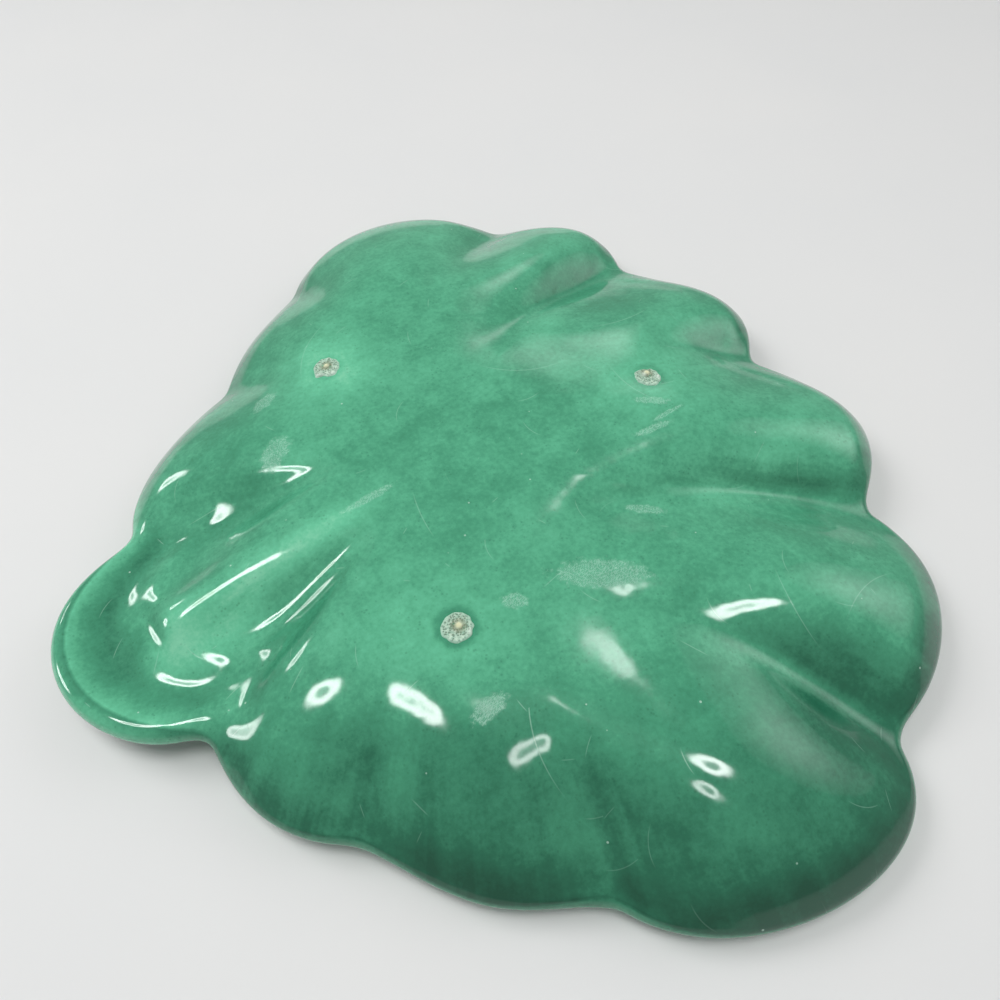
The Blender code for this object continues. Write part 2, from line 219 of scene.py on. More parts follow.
# Specks, dark stains and pale pinholes: size of their cells, where a dot ends and where it is full, as
# shares of the cell; then the size and detail of the patches that hold them, and the patches' range
STAINS = (0.75 * MM, 0.34, 0.12, 2.6 * MM, 2.0, 0.46, 0.64)
PINHOLES = (4.1 * MM, 0.052, 0.030, 7.0 * MM, 1.0, 0.44, 0.54)
CRAZE_CELL = 0.70 * MM
CRAZE_STRETCH = ((1, 3.4, 1), 0.45)  # scale along each axis, and turn
GLAZE_IOR = 1.52
# Hairline scratches: size of the cells that may hold one, its length and width, share of bare cells
SCRATCHES = (
    (8.0 * MM, 2.4 * MM, 0.05 * MM, 0.62),
    (21.0 * MM, 7.5 * MM, 0.06 * MM, 0.50),
)

# The stilt marks' clay
CLAY_DARK = (0.26, 0.46, 0.34)
CLAY_PALE = (0.58, 0.74, 0.60)
CLAY_SPECK = (0.07, 0.16, 0.095)
CLAY_RIM = (0.48, 0.76, 0.60)
CLAY_PIT = (0.17, 0.16, 0.06)
CLAY_LUMP = (0.72, 0.84, 0.74)
CLAY_TIP = (0.80, 0.81, 0.54)

# Lamps, all aimed at the dish: place, size, watts, how bright the middle is, from which share of
# the radius the edge fades, whether it lights the dish, and whether it shows in the gloss
LAMPS = (
    ("overhead", (-0.35, 0.45, 0.60), 0.50, 3.70, 1.0, 0.7, True, False),
    ("key", (0.0, -0.05, 0.62), 0.30, 2.10, 1.0, 0.7, True, False),
    ("back", (0.45, 0.60, 0.50), 0.34, 0.60, 1.0, 0.1, True, True),
    ("side", (0.95, -0.08, 0.62), 0.95, 4.30, 1.0, 0.1, True, True),
    ("front", (0.15, -0.17, 0.60), 0.16, 1.25, 0.15, 0.7, False, True),
    ("low", (0.0, -0.31, 0.60), 0.12, 0.45, 0.15, 0.7, False, True),
    ("left", (-0.34, 0.05, 0.60), 0.19, 1.75, 0.15, 0.7, False, True),
    ("right", (0.24, 0.14, 0.60), 0.08, 0.22, 0.6, 0.7, False, True),
    ("middle", (-0.03, 0.01, 0.60), 0.08, 0.17, 0.6, 0.7, False, True),
    ("west", (-1.10, 0.50, 0.42), 0.35, 3.60, 0.6, 0.7, False, True),
    ("corner", (-0.70, 0.95, 0.45), 0.22, 1.30, 0.3, 0.7, False, True),
)
LAMP_MIDDLE = (0.12, 0.26)  # shares of the lamp's size at which the middle ends and full light starts
WORLD_LIGHT = 0.32
BACKDROP = 0.66  # how pale the camera sees what lies beyond the floor
FAR_FLOOR = 0.46  # how much paler the camera sees the floor that lies out of the lamps' reach
FAR_FLOOR_RANGE = (0.3, 1.5)  # metres from the dish over which that grows in
FLOOR_SIZE = 6.0

# The photograph's camera: a wide lens close above the near left of the dish, its angles in radians
# and its lens and sensor in millimetres
CAMERA_PLACE = Vector((-27.02, -73.37, 114.86)) * MM
CAMERA_PITCH = 0.96153
CAMERA_ROLL = -0.061888
CAMERA_TURN = 0.426587
CAMERA_LENS = 27.0
CAMERA_SENSOR = 36.0
CAMERA_CLIP = 5.0 * MM


# The shell's shape

def plan_point(x_share, y_share):
    return np.array([x_share * HALF_LENGTH, y_share * HALF_WIDTH])


def smooth_step(value):
    value = np.clip(value, 0, 1)
    return value * value * (3 - 2 * value)


def ease(distance, run):
    return 1 - (1 - np.clip(distance / run, 0, 1)) ** 2


def bell(distance, width, power=2):
    return np.exp(-(distance / width) ** power)


def circular_blur(values, width, step):
    """Average round a closed outline with a bell curve of the given width."""
    reach = math.ceil(3 * width / step)
    offsets = np.arange(-reach, reach + 1)
    weights = np.exp(-0.5 * (offsets * step / width) ** 2)
    weights /= weights.sum()
    total = np.zeros_like(values)
    for offset, weight in zip(offsets, weights):
        total += weight * np.roll(values, offset, axis=0)
    return total


def moved_out(outline, distance):
    along = np.roll(outline, -1, axis=0) - np.roll(outline, 1, axis=0)
    outward = np.column_stack([along[:, 1], -along[:, 0]]) / np.hypot(*along.T)[:, None]
    return outline + distance * outward


def rim_table(count):
    """Points round the rim at even steps: x, y, height, lip rise, shoulder run, handle weight."""
    rows = []
    lobes = len(LOBE_SHARES)
    t = np.arange(LOBE_STEPS)[:, None] / LOBE_STEPS
    for index, lobe in enumerate(LOBE_SHARES):
        start = plan_point(*NOTCH_SHARES[index][:2])
        end = plan_point(*NOTCH_SHARES[(index + 1) % lobes][:2])
        chord = end - start
        outward = np.array([chord[1], -chord[0]])
        first = start + lobe[0] * chord + lobe[1] * outward
        second = end - lobe[2] * chord + lobe[3] * outward
        curve = (1 - t) ** 3 * start + 3 * t * (1 - t) ** 2 * first
        curve = curve + 3 * t ** 2 * (1 - t) * second + t ** 3 * end
        notch_height = (1 - t) * NOTCH_SHARES[index][2] + t * NOTCH_SHARES[(index + 1) % lobes][2]
        height = lobe[4] + (notch_height - lobe[4]) * np.abs(2 * t - 1) ** 3
        constant = np.ones_like(t)
        rows.append(np.hstack([curve, height * BASE_RISE, constant * lobe[5] * BASE_RISE,
                               constant * lobe[6] * HALF_WIDTH,
                               constant * (index == HANDLE_LOBE)]))
    table = np.vstack(rows)
    steps = np.hypot(*(np.roll(table[:, :2], -1, axis=0) - table[:, :2]).T)
    travelled = np.concatenate([[0.0], np.cumsum(steps)])
    closed = np.vstack([table, table[:1]])
    fine = OVERSAMPLE * count
    even = np.arange(fine) * travelled[-1] / fine
    table = np.stack([np.interp(even, travelled, column) for column in closed.T], axis=1)
    step = travelled[-1] / fine
    table[:, :3] = circular_blur(table[:, :3], NOTCH_ROUNDING, step)
    table[:, 3:] = circular_blur(table[:, 3:], 3 * NOTCH_ROUNDING, step)
    table = table[::OVERSAMPLE]
    outset = RIM_OUTSET_SHARE * RIM_ROUND * (1 - table[:, 5:])
    table[:, :2] = moved_out(table[:, :2], outset)
    return table


def nearest_on_curve(points, start, middle, end):
    """Distance to a three-point curve, the share of it passed there, and 1 if on its left, else -1."""
    t = np.linspace(0, 1, CURVE_STEPS + 1)[:, None]
    curve = (1 - t) ** 2 * start + 2 * t * (1 - t) * middle + t ** 2 * end
    distance = np.full(len(points), np.inf)
    share = np.zeros(len(points))
    left = np.zeros(len(points))
    for index in range(len(curve) - 1):
        side = curve[index + 1] - curve[index]
        offset = points - curve[index]
        along = np.clip(offset @ side / (side @ side), 0, 1)
        gap = np.hypot(*(offset - along[:, None] * side).T)
        closer = gap < distance
        distance = np.where(closer, gap, distance)
        share = np.where(closer, (index + along) / (len(curve) - 1), share)
        left = np.where(closer, np.sign(side[0] * offset[:, 1] - side[1] * offset[:, 0]), left)
    return distance, share, left


def outer_height(points, rim, inward, ridge_share):
    """Height of the outer face, and how deep in a crease each point lies."""
    lip = rim[:, 3] * ease(inward, LIP_RUN)
    shoulder = (BASE_RISE - rim[:, 2] - rim[:, 3]) * ease(inward, rim[:, 4])
    body = rim[:, 2] + lip + shoulder
    low, high = LIP_LINE_SHARES
    lipped = smooth_step((rim[:, 3] / BASE_RISE - low) / (high - low))
    body = body - LIP_LINE * lipped * bell(inward - LIP_RUN, LIP_LINE_WIDTH)
    tab_lip = (HANDLE_TOP - rim[:, 2]) * ease(inward, HANDLE_LIP_RUN)
    tab_dish = HANDLE_DISH * np.sin(math.pi * np.clip(inward / NECK_START, 0, 1)) ** 2
    neck = (BASE_RISE - HANDLE_TOP) * smooth_step((inward - NECK_START) / NECK_RUN)
    tab = rim[:, 2] + tab_lip - tab_dish + neck
    height = body + (tab - body) * rim[:, 5]
    untouched = np.ones(len(points))
    for crease in CREASE_SHARES:
        distance, share, left = nearest_on_curve(points, plan_point(*crease[:2]),
                                                 plan_point(*crease[2:4]), plan_point(*crease[4:6]))
        distance = distance / (1 + crease[7] * left)
        width = CREASE_WIDTH + CREASE_FLARE * share
        sharp = np.exp(CREASE_ROUND_SHARE - np.hypot(distance / width, CREASE_ROUND_SHARE))
        fading = smooth_step(1 - share) ** CREASE_FADE
        taken = crease[6] * fading * (CREASE_SHARE * sharp + VALLEY_SHARE * bell(distance, VALLEY_WIDTH))
        height = rim[:, 2] + (height - rim[:, 2]) * (1 - taken)
        untouched *= 1 - np.clip(taken, 0, 1)
    start, end = (plan_point(*pair) for pair in RIDGE_SHARES)
    distance, share, _ = nearest_on_curve(points, start, 0.5 * (start + end), end)
    crest = bell(distance, RIDGE_WIDTH) * np.sin(math.pi * share ** RIDGE_LEAN)
    height = height + (BASE_RISE - height) * ridge_share * crest
    from_middle = np.hypot(points[:, 0], points[:, 1])
    kept = smooth_step((from_middle - BASE_FLAT_RADIUS) / BASE_BLEND)
    return BASE_RISE + (height - BASE_RISE) * kept, (1 - untouched) * kept


def outer_grid(rim, rings, ridge_share):
    """The outer face as rings of places out to where the rim's round starts, with facts of each."""
    edge = rim[:, :2]
    just_inside = np.full(len(rim), SLOPE_STEP)
    slope = (outer_height(edge, rim, just_inside, 0)[0] - rim[:, 2]) / SLOPE_STEP
    inset = circular_blur(WALL / 2 / np.hypot(1, slope)[:, None], INSET_BLUR_SPOKES, 1)
    target = moved_out(edge, -inset)
    bend = smooth_step((target[:, 0] / HALF_LENGTH - BEND_START_SHARE) / BEND_RUN_SHARE)
    aim = np.column_stack([RIB_AIM * bend, np.zeros(len(rim))])
    places = []
    facts = []
    for ring in range(rings + 1):
        passed = 1 - (1 - ring / rings) ** RING_POWER
        points = passed * target + (1 - passed) * passed * aim
        inward = np.hypot(*(edge - points).T)
        height, crease = outer_height(points, rim, inward, ridge_share)
        places.append(np.column_stack([points, height]))
        facts.append(np.column_stack([crease, inward / MM]))
    return np.array(places), np.array(facts)


def softened(places, passes):
    """The same grid with its heights averaged over their neighbours, but not at the rim."""
    height = places[:, :, 2].copy()
    for _ in range(passes):
        round_ring = (np.roll(height, 1, axis=1) + 2 * height + np.roll(height, -1, axis=1)) / 4
        height = round_ring
        height[1:-1] = (round_ring[:-2] + 2 * round_ring[1:-1] + round_ring[2:]) / 4
        height[0] = BASE_RISE
    places = places.copy()
    places[:, :, 2] = height
    return places


def facing(places):
    """Unit normals of a grid of rings, and the steps from neighbour to neighbour along each ring."""
    outwards = np.gradient(places, axis=0)
    around = np.roll(places, -1, axis=1) - np.roll(places, 1, axis=1)
    normal = np.cross(outwards, around)
    normal[0] = (0, 0, 1)
    return normal / np.linalg.norm(normal, axis=2)[:, :, None], around


def shell_rings(rim):
    """Rings of places from the base over the rim into the hollow, and the outer face's facts."""
    upper, facts = outer_grid(rim, RINGS, RIDGE_SHARE)
    upper = softened(upper, OUTER_PASSES)
    normal, around = facing(upper)
    under = softened(outer_grid(rim, HOLLOW_RINGS, 0)[0], HOLLOW_PASSES)
    lower = under - WALL * facing(under)[0]
    lower[-1] = upper[-1] - WALL * normal[-1]
    out = np.cross(around[-1], normal[-1])
    out /= np.linalg.norm(out, axis=1)[:, None]
    middle = upper[-1] - WALL / 2 * normal[-1]
    rings = list(upper)
    for step in range(1, RIM_STEPS):
        turn = math.pi * step / RIM_STEPS
        rings.append(middle + WALL / 2 * (math.cos(turn) * normal[-1] + math.sin(turn) * out))
    rings.extend(lower[::-1])
    hump = (upper[:, :, 2] - softened(upper, HUMP_PASSES)[:, :, 2]) / MM
    return np.array(rings) + SHIFT, np.dstack([facts, hump])


def shell_mesh(name):
    """The whole skin of the shell, and what its glaze needs to know at each point.

    That is how deep in a crease it lies, how far in from the rim and how far up on a hump, both in
    mm, and how far it has turned round the rim: 0 on the outer face, 1 in the hollow.
    """
    rings, outer_facts = shell_rings(rim_table(SPOKES))
    last = len(rings) - 1
    rows = np.zeros((last + 1, SPOKES, 4))
    rows[:RINGS + 1, :, :3] = outer_facts
    for ring in range(RINGS + 1, last + 1):
        rows[ring, :, 3] = min(1.0, (ring - RINGS) / RIM_STEPS)

    def as_points(grid):
        """One point for the first ring, all of each ring between, and one for the last."""
        return np.vstack([grid[0][:1], *grid[1:last], grid[last][:1]])

    verts = as_points(rings)

    def at(ring, spoke):
        if ring == 0:
            return 0
        if ring == last:
            return len(verts) - 1
        return 1 + (ring - 1) * SPOKES + spoke % SPOKES

    faces = []
    for ring in range(last):
        for spoke in range(SPOKES):
            corners = (at(ring, spoke), at(ring + 1, spoke), at(ring + 1, spoke + 1),
                       at(ring, spoke + 1))
            faces.append(tuple(dict.fromkeys(corners)))
    mesh = bpy.data.meshes.new(name)
    mesh.from_pydata([tuple(place) for place in verts], [], faces)
    mesh.update()
    mesh.polygons.foreach_set("use_smooth", [True] * len(mesh.polygons))
    return mesh, verts, as_points(rows)


def fit_to_box(verts, node):
    """Scale the fine shell by the fraction of a percent that its box differs from the solid's."""
    low, high = (np.array(corner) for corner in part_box(node))
    mine_low = verts.min(axis=0)
    mine_high = verts.max(axis=0)
    return low + (verts - mine_low) / (mine_high - mine_low) * (high - low)


# Materials

class Tree:
    """Short calls that build a material's nodes."""

    def __init__(self, name):
        self.material = bpy.data.materials.new(name)
        self.material.use_nodes = True
        self.nodes = self.material.node_tree.nodes
        self.links = self.material.node_tree.links
        self.shader = self.nodes["Principled BSDF"]
        self.place = self.nodes.new("ShaderNodeTexCoord").outputs["Object"]

    def put(self, socket, value):
        if isinstance(value, bpy.types.NodeSocket):
            self.links.new(value, socket)
        else:
            socket.default_value = value

    def calc(self, operation, first, second=0.0, clamp=False):
        node = self.nodes.new("ShaderNodeMath")
        node.operation = operation
        node.use_clamp = clamp
        for socket, value in zip(node.inputs, (first, second)):
            self.put(socket, value)
        return node.outputs[0]

    def vector(self, operation, first, second=(0.0, 0.0, 0.0)):
        node = self.nodes.new("ShaderNodeVectorMath")
        node.operation = operation
        for socket, value in zip(node.inputs, (first, second)):
            self.put(socket, value)
        return node

    def add(self, first, second):
        return self.calc("ADD", first, second)

    def mul(self, first, second):
        return self.calc("MULTIPLY", first, second)

    def rest(self, share):
        return self.calc("SUBTRACT", 1.0, share)

    def swing(self, pattern, amount):
        """A pattern from 0 to 1, made to swing evenly about 0."""
        return self.mul(self.calc("SUBTRACT", pattern, 0.5), amount)

    def steps(self, value, low, high):
        node = self.nodes.new("ShaderNodeMapRange")
        node.interpolation_type = "SMOOTHSTEP"
        self.put(node.inputs["Value"], value)
        node.inputs["From Min"].default_value = low
        node.inputs["From Max"].default_value = high
        return node.outputs["Result"]

    def noise(self, size, detail=2.0, roughness=0.5, warp=0.0, vector=None):
        node = self.nodes.new("ShaderNodeTexNoise")
        self.put(node.inputs["Vector"], self.place if vector is None else vector)
        node.inputs["Scale"].default_value = 1 / size
        node.inputs["Detail"].default_value = detail
        node.inputs["Roughness"].default_value = roughness
        node.inputs["Distortion"].default_value = warp
        return node.outputs["Fac"]

    def cells(self, size, vector=None, feature="F1"):
        node = self.nodes.new("ShaderNodeTexVoronoi")
        node.feature = feature
        self.put(node.inputs["Vector"], self.place if vector is None else vector)
        node.inputs["Scale"].default_value = 1 / size
        return node

    def dots(self, size, edge, core, patch, detail, low, high):
        """Soft dots, one in a cell, where a patchy noise rises from low to high."""
        dot = self.steps(self.cells(size).outputs["Distance"], edge, core)
        return self.mul(dot, self.steps(self.noise(patch, detail), low, high))

    def hairlines(self, size, length, thickness, bare_share):
        """A few fine scratches seen from above: one bent line, turned at random, in some cells."""
        node = self.cells(size)
        node.voronoi_dimensions = "2D"
        parts = self.nodes.new("ShaderNodeSeparateXYZ")
        self.put(parts.inputs[0], self.vector("SUBTRACT", self.place, node.outputs["Position"]).outputs[0])
        chance = self.nodes.new("ShaderNodeSeparateColor")
        self.put(chance.inputs[0], node.outputs["Color"])
        turn = self.mul(chance.outputs[0], math.pi)
        cosine = self.calc("COSINE", turn)
        sine = self.calc("SINE", turn)
        along = self.add(self.mul(parts.outputs[0], cosine), self.mul(parts.outputs[1], sine))
        across = self.calc("SUBTRACT", self.mul(parts.outputs[1], cosine), self.mul(parts.outputs[0], sine))
        bend = self.mul(self.mul(along, along), self.mul(chance.outputs[2], 0.25 / length))
        gap = self.calc("ABSOLUTE", self.add(across, bend))
        line = self.steps(gap, 2 * thickness, 0.4 * thickness)
        reach = self.calc("DIVIDE", self.calc("ABSOLUTE", along), self.add(0.2, chance.outputs[2]))
        ends = self.steps(reach, length, 0.4 * length)
        return self.mul(self.mul(line, ends), self.steps(chance.outputs[1], bare_share, bare_share + 0.1))

    def stretch(self, vector, scale, turn=0.0):
        node = self.nodes.new("ShaderNodeMapping")
        node.vector_type = "TEXTURE"
        self.put(node.inputs["Vector"], vector)
        node.inputs["Scale"].default_value = [1 / share for share in scale]
        node.inputs["Rotation"].default_value = (0, 0, turn)
        return node.outputs["Vector"]

    def mix(self, share, first, second):
        node = self.nodes.new("ShaderNodeMix")
        node.data_type = "RGBA"
        self.put(node.inputs["Factor"], share)
        for socket, value in ((node.inputs[6], first), (node.inputs[7], second)):
            self.put(socket, value if isinstance(value, bpy.types.NodeSocket) else (*value, 1.0))
        return node.outputs[2]

    def ramp(self, value, stops):
        node = self.nodes.new("ShaderNodeValToRGB")
        self.put(node.inputs["Fac"], value)
        points = node.color_ramp.elements
        while len(points) < len(stops):
            points.new(0.5)
        for point, (position, colour) in zip(points, stops):
            point.position = position
            point.color = (*colour, 1.0)
        return node.outputs["Color"]

    def facts(self, name):
        """The four numbers that each point of the mesh carries under a name."""
        node = self.nodes.new("ShaderNodeAttribute")
        node.attribute_name = name
        split = self.nodes.new("ShaderNodeSeparateColor")
        self.links.new(node.outputs["Color"], split.inputs["Color"])
        return split.outputs[0], split.outputs[1], split.outputs[2], node.outputs["Alpha"]

    def bump(self, height, distance, strength, under=None):
        node = self.nodes.new("ShaderNodeBump")
        self.put(node.inputs["Height"], height)
        node.inputs["Distance"].default_value = distance
        node.inputs["Strength"].default_value = strength
        if under is not None:
            self.links.new(under, node.inputs["Normal"])
        return node.outputs["Normal"]

    def finish(self, colour, roughness, normal):
        for name, value in (("Base Color", colour), ("Roughness", roughness), ("Normal", normal)):
            self.put(self.shader.inputs[name], value)
        return self.material


def glaze_material(marks):
    """Mottled emerald glaze: thin and light on humps, thick and dark where it pooled, with painted shade and
    painted light carried in its tone.
    """
    tree = Tree("green_glaze")
    value, scuff, wall, matt = tree.facts("glaze")
    for *pattern, amount in (CLOUDS, PATCHES, GRAIN):
        value = tree.add(value, tree.swing(tree.noise(*pattern), amount))
    across = tree.nodes.new("ShaderNodeUVMap").outputs[0]
    runs = tree.noise(1.0, 3.0, 0.55, vector=tree.stretch(across, RUNS))
    value = tree.add(value, tree.mul(tree.swing(runs, RUNS_SHARE), wall))
    ragged_edge = tree.swing(tree.noise(*PATCHES[:4]), 0.8 * MM)
    # A dark ring at each mark's edge: pooled glaze and painted shade
    for mark, amount in zip(marks, POOL_AND_SHADE_SHARES):
        away = tree.add(tree.vector("DISTANCE", tree.place, mark).outputs["Value"], ragged_edge)
        pooled = tree.rest(tree.steps(away, MARK_RADIUS, MARK_RADIUS + POOL_AND_SHADE_REACH))
        value = tree.add(value, tree.mul(pooled, -amount))
    colour = tree.ramp(value, GLAZE_RAMP)

    # Matt crazed rubs on the high spots that the dish stands on, and hairline scratches
    craze = tree.cells(CRAZE_CELL, tree.stretch(tree.place, *CRAZE_STRETCH), "DISTANCE_TO_EDGE")
    lines = tree.steps(craze.outputs["Distance"], 0.16, 0.02)
    ragged = tree.add(scuff, tree.swing(tree.noise(1.1 * MM, 3.0, 0.7), 0.9))
    rub = tree.mul(tree.steps(ragged, 0.38, 0.62), tree.add(0.25, tree.mul(lines, 0.75)))
    scratches = tree.add(*(tree.hairlines(*sizes) for sizes in SCRATCHES))
    scratches = tree.mul(scratches, tree.rest(tree.mul(wall, 0.6)))

    pinholes = tree.dots(*PINHOLES)
    for where, share, tint in ((tree.dots(*STAINS), 0.26, DEEP_GREEN), (pinholes, 0.60, PINHOLE_GREEN),
                               (rub, 0.34, RUBBED_GREEN), (scratches, 0.30, SCRATCH_GREEN)):
        colour = tree.mix(tree.calc("MULTIPLY", where, share, clamp=True), colour, tint)
    roughness = matt
    for pattern, amount in ((tree.noise(9 * MM), 0.03), (rub, 0.22), (scratches, 0.14)):
        roughness = tree.add(roughness, tree.mul(pattern, amount))

    # Relief: the swell of the glaze, its pinholes, its orange peel and its rubs
    normal = None
    for height, depth, strength in ((tree.noise(6 * MM, 2.0, 0.4), 0.12 * MM, 0.6),
                                    (tree.rest(pinholes), 0.05 * MM, 0.5),
                                    (tree.noise(1.6 * MM, 1.0), 0.008 * MM, 0.5),
                                    (rub, 0.012 * MM, 0.6)):
        normal = tree.bump(height, depth, strength, under=normal)
    tree.shader.inputs["IOR"].default_value = GLAZE_IOR
    return tree.finish(colour, roughness, normal)


def clay_material():
    """Crust of a stilt mark: pale mint and beige, speckled, brown round a cream-coloured pin tip."""
    tree = Tree("bare_clay")
    pit, rim, tip, lump = tree.facts("mark")
    grain = tree.noise(0.5 * MM, 4.0, 0.7)
    specks = tree.steps(tree.cells(0.33 * MM).outputs["Distance"], 0.58, 0.30)
    colour = tree.mix(tree.steps(grain, 0.30, 0.70), CLAY_DARK, CLAY_PALE)
    for where, share, tint in ((specks, 0.74, CLAY_SPECK), (rim, 0.60, CLAY_RIM), (pit, 0.50, CLAY_PIT),
                               (lump, 0.75, CLAY_LUMP), (tip, 1.0, CLAY_TIP)):
        colour = tree.mix(tree.mul(where, share), colour, tint)
    normal = tree.bump(specks, 0.06 * MM, 0.8, under=tree.bump(grain, 0.12 * MM, 0.9))
    return tree.finish(colour, tree.add(0.42, tree.mul(grain, 0.3)), normal)


# Pieces

def add_facts(mesh, name, values):
    layer = mesh.attributes.new(name, "FLOAT_COLOR", "POINT")
    layer.data.foreach_set("color", np.asarray(values, dtype=np.float32).ravel())


def add_piece(name, mesh, material):
    mesh.materials.append(material)
    piece = bpy.data.objects.new(name, mesh)
    bpy.context.scene.collection.objects.link(piece)
    return piece


def oval(x, y, middle, length, width, turn):
    """A soft spot in plan, 1 in its middle."""
    along = (x - middle[0]) * math.cos(turn) + (y - middle[1]) * math.sin(turn)
    across = (y - middle[1]) * math.cos(turn) - (x - middle[0]) * math.sin(turn)
    return bell(along, length) * bell(across, width)


def glaze_tone_with_painted_light(x, y, data, steep, marks):
    """How light the glaze is drawn at each point, 0 where it is darkest, for x and y in mm: partly its
    thickness, partly painted shade and painted light.
    """
    crease, inward, hump, turned = data.T
    outer = turned == 0
    handle = smooth_step((-47 - x) / 8)
    near_side = smooth_step((-y - 0.35 * x - 2) / 30)
    near_wall = smooth_step((-0.41 * x - 0.91 * y - 32) / 18) * smooth_step((x + 46) / 16)
    left_side = smooth_step((-x - 0.4 * y) / 30)
    far_side = smooth_step((x + 0.6 * y) / 70)

    # Darker where the glaze ran down a wall, with painted shade added on the near side and its wall; light on
    # humps, with painted light added on the left and far side
    tone = 0.57 - (0.17 + 0.14 * near_side) * smooth_step(steep / 0.36) - 0.20 * near_wall
    tone += 0.03 * left_side + 0.02 * far_side + 0.06 * np.clip(hump, -1.5, 1.5) - 0.02 * crease

    # Painted shade in a band behind the lip, and on the tab a light edge, partly thin glaze and partly
    # painted highlight, with a band of painted shade behind it where the dish tilts away
    tone -= 0.08 * bell(inward - 3.2, 2.2) * (1 - handle)
    tone += (0.30 * bell(inward, 2.6) - 0.20 * bell(inward - 8.0, 2.8)) * handle
    # Spots of thin and thick glaze, and of painted light and shade
    for *place, amount in TONE_SPOTS:
        tone += amount * oval(x, y, *place)
    rim_and_hollow = 0.34 + (0.20 + 0.22 * handle) * np.sin(np.pi * turned)
    halo = np.zeros(len(x))
    for mark, amount in zip(marks, HALO_SHARES):
        away = np.hypot(x - mark[0] / MM, y - mark[1] / MM) * MM
        halo = np.maximum(halo, amount * bell(away, HALO_REACH, 1.5))
    return np.clip(np.where(outer, tone, rim_and_hollow), 0, 1) + halo * outer


def add_run_map(mesh, verts):
    """A map whose first axis goes round the shell and its second from the middle outwards."""
    layer = mesh.uv_layers.new(name="runs")
    loops = np.zeros(len(mesh.loops), dtype=np.int32)
    mesh.loops.foreach_get("vertex_index", loops)
    x, y = verts[:, 0], verts[:, 1]
    uv = np.column_stack([np.arctan2(y, x) * RUNS_RADIUS, np.hypot(x, y)])
    layer.data.foreach_set("uv", uv[loops].astype(np.float32).ravel())


def add_shell(marks):
    """The glazed shell, whose points carry their tone, rub, share of wall and roughness."""
    mesh, verts, data = shell_mesh("shell_glaze")
    verts = fit_to_box(verts, "dish_shell")
    mesh.vertices.foreach_set("co", verts.astype(np.float32).ravel())
    mesh.update()
    normals = np.zeros(len(verts) * 3, dtype=np.float32)
    mesh.vertices.foreach_get("normal", normals)
    x, y, z = verts.T / MM
    turned = data[:, 3]
    outer = turned == 0
    steep = np.clip(1 - normals.reshape(-1, 3)[:, 2], 0, 1) * outer
    scuff = np.max([oval(x, y, *rub) for rub in RUBS], axis=0) * outer
    base = smooth_step((z - 15.2) / 0.9) * outer
    matt = 0.060 + 0.05 * base + 0.03 * (turned >= 1)
    add_facts(mesh, "glaze", np.column_stack([glaze_tone_with_painted_light(x, y, data, steep, marks), scuff,
                                              smooth_step(steep / 0.3), matt]))
    add_run_map(mesh, verts)
    shell = add_piece("shell_glaze", mesh, glaze_material(marks))
    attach(shell, "root")
    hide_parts("dish_shell")
    return shell


def add_mark(node, shell, clay, seed):
    """A stilt mark: a rough chipped crust on the glaze, with a broken pin tip in a small pit."""
    low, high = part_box(node)
    middle = (low + high) / 2
    bumps, tip_place, lumps = MARK_FORMS[node]
    rng = np.random.default_rng(seed)
    phases = rng.uniform(0, 2 * math.pi, 12)

    def crust(share, angle):
        """At a share of the way out: x and y, the height above the glaze, and pit, rim, tip, lump."""
        reach = 1.0
        for direction, size, width in bumps:
            apart = (math.degrees(angle) - direction + 180) % 360 - 180
            reach += size * bell(apart, width)
        for wave, phase in zip(RAGGED_WAVES, phases):
            reach += RAGGED_SHARE * math.sin(wave * angle + phase)
        x = share * reach * MARK_RADIUS * math.cos(angle)
        y = share * reach * MARK_RADIUS * math.sin(angle)
        from_tip = math.hypot(x / MM - tip_place[0], y / MM - tip_place[1])
        pit = bell(from_tip - 0.75, 0.42)
        tip = bell(from_tip, 0.52, 4)
        lump = sum(math.exp(-((x / MM - a) ** 2 + (y / MM - b) ** 2) / 0.22) for a, b in lumps)
        waves = math.sin(CRUST_WAVE_TURNS[0] * x + phases[6]) * math.sin(CRUST_WAVE_TURNS[1] * y + phases[7])
        lift = CRUST_LIFT + CRUST_WAVE * waves
        lift += CRUST_GRIT * rng.uniform(-1, 1) + CRUST_BRIM * bell(share - 0.84, 0.09)
        lift += TIP_LIFT * tip - PIT_DEPTH * pit + LUMP_LIFT * lump
        lift *= 1 - smooth_step((share - 0.88) / 0.12)
        rim = smooth_step((share - 0.80) / 0.16)
        return x, y, (lift - MARK_TUCK * (share == 1)) * MM, (pit, rim, tip, min(1.0, lump))

    verts = []
    facts = []
    for ring in range(MARK_RINGS + 1):
        for spoke in range(MARK_SPOKES if ring else 1):
            x, y, lift, fact = crust(ring / MARK_RINGS, 2 * math.pi * spoke / MARK_SPOKES)
            x, y = x + middle.x, y + middle.y
            found, glaze, normal, face = shell.ray_cast(Vector((x, y, 0.1)), Vector((0, 0, -1)))
            verts.append((x, y, glaze.z + lift))
            facts.append(fact)
    verts.append((middle.x, middle.y, verts[0][2] - MARK_SINK))
    facts.append((0.0, 0.0, 0.0, 0.0))
    faces = []
    last = 1 + (MARK_RINGS - 1) * MARK_SPOKES
    for spoke in range(MARK_SPOKES):
        after = (spoke + 1) % MARK_SPOKES
        faces.append((0, 1 + spoke, 1 + after))
        faces.append((last + after, last + spoke, len(verts) - 1))
        for here in range(1, last, MARK_SPOKES):
            faces.append((here + spoke, here + MARK_SPOKES + spoke, here + MARK_SPOKES + after, here + after))
    mesh = bpy.data.meshes.new(node + "_clay")
    mesh.from_pydata(verts, [], faces)
    mesh.polygons.foreach_set("use_smooth", [True] * len(mesh.polygons))
    mesh.update()
    add_facts(mesh, "mark", facts)
    mark = add_piece(node + "_clay", mesh, clay)
    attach(mark, "root")
    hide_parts(node)


# Floor, light and camera

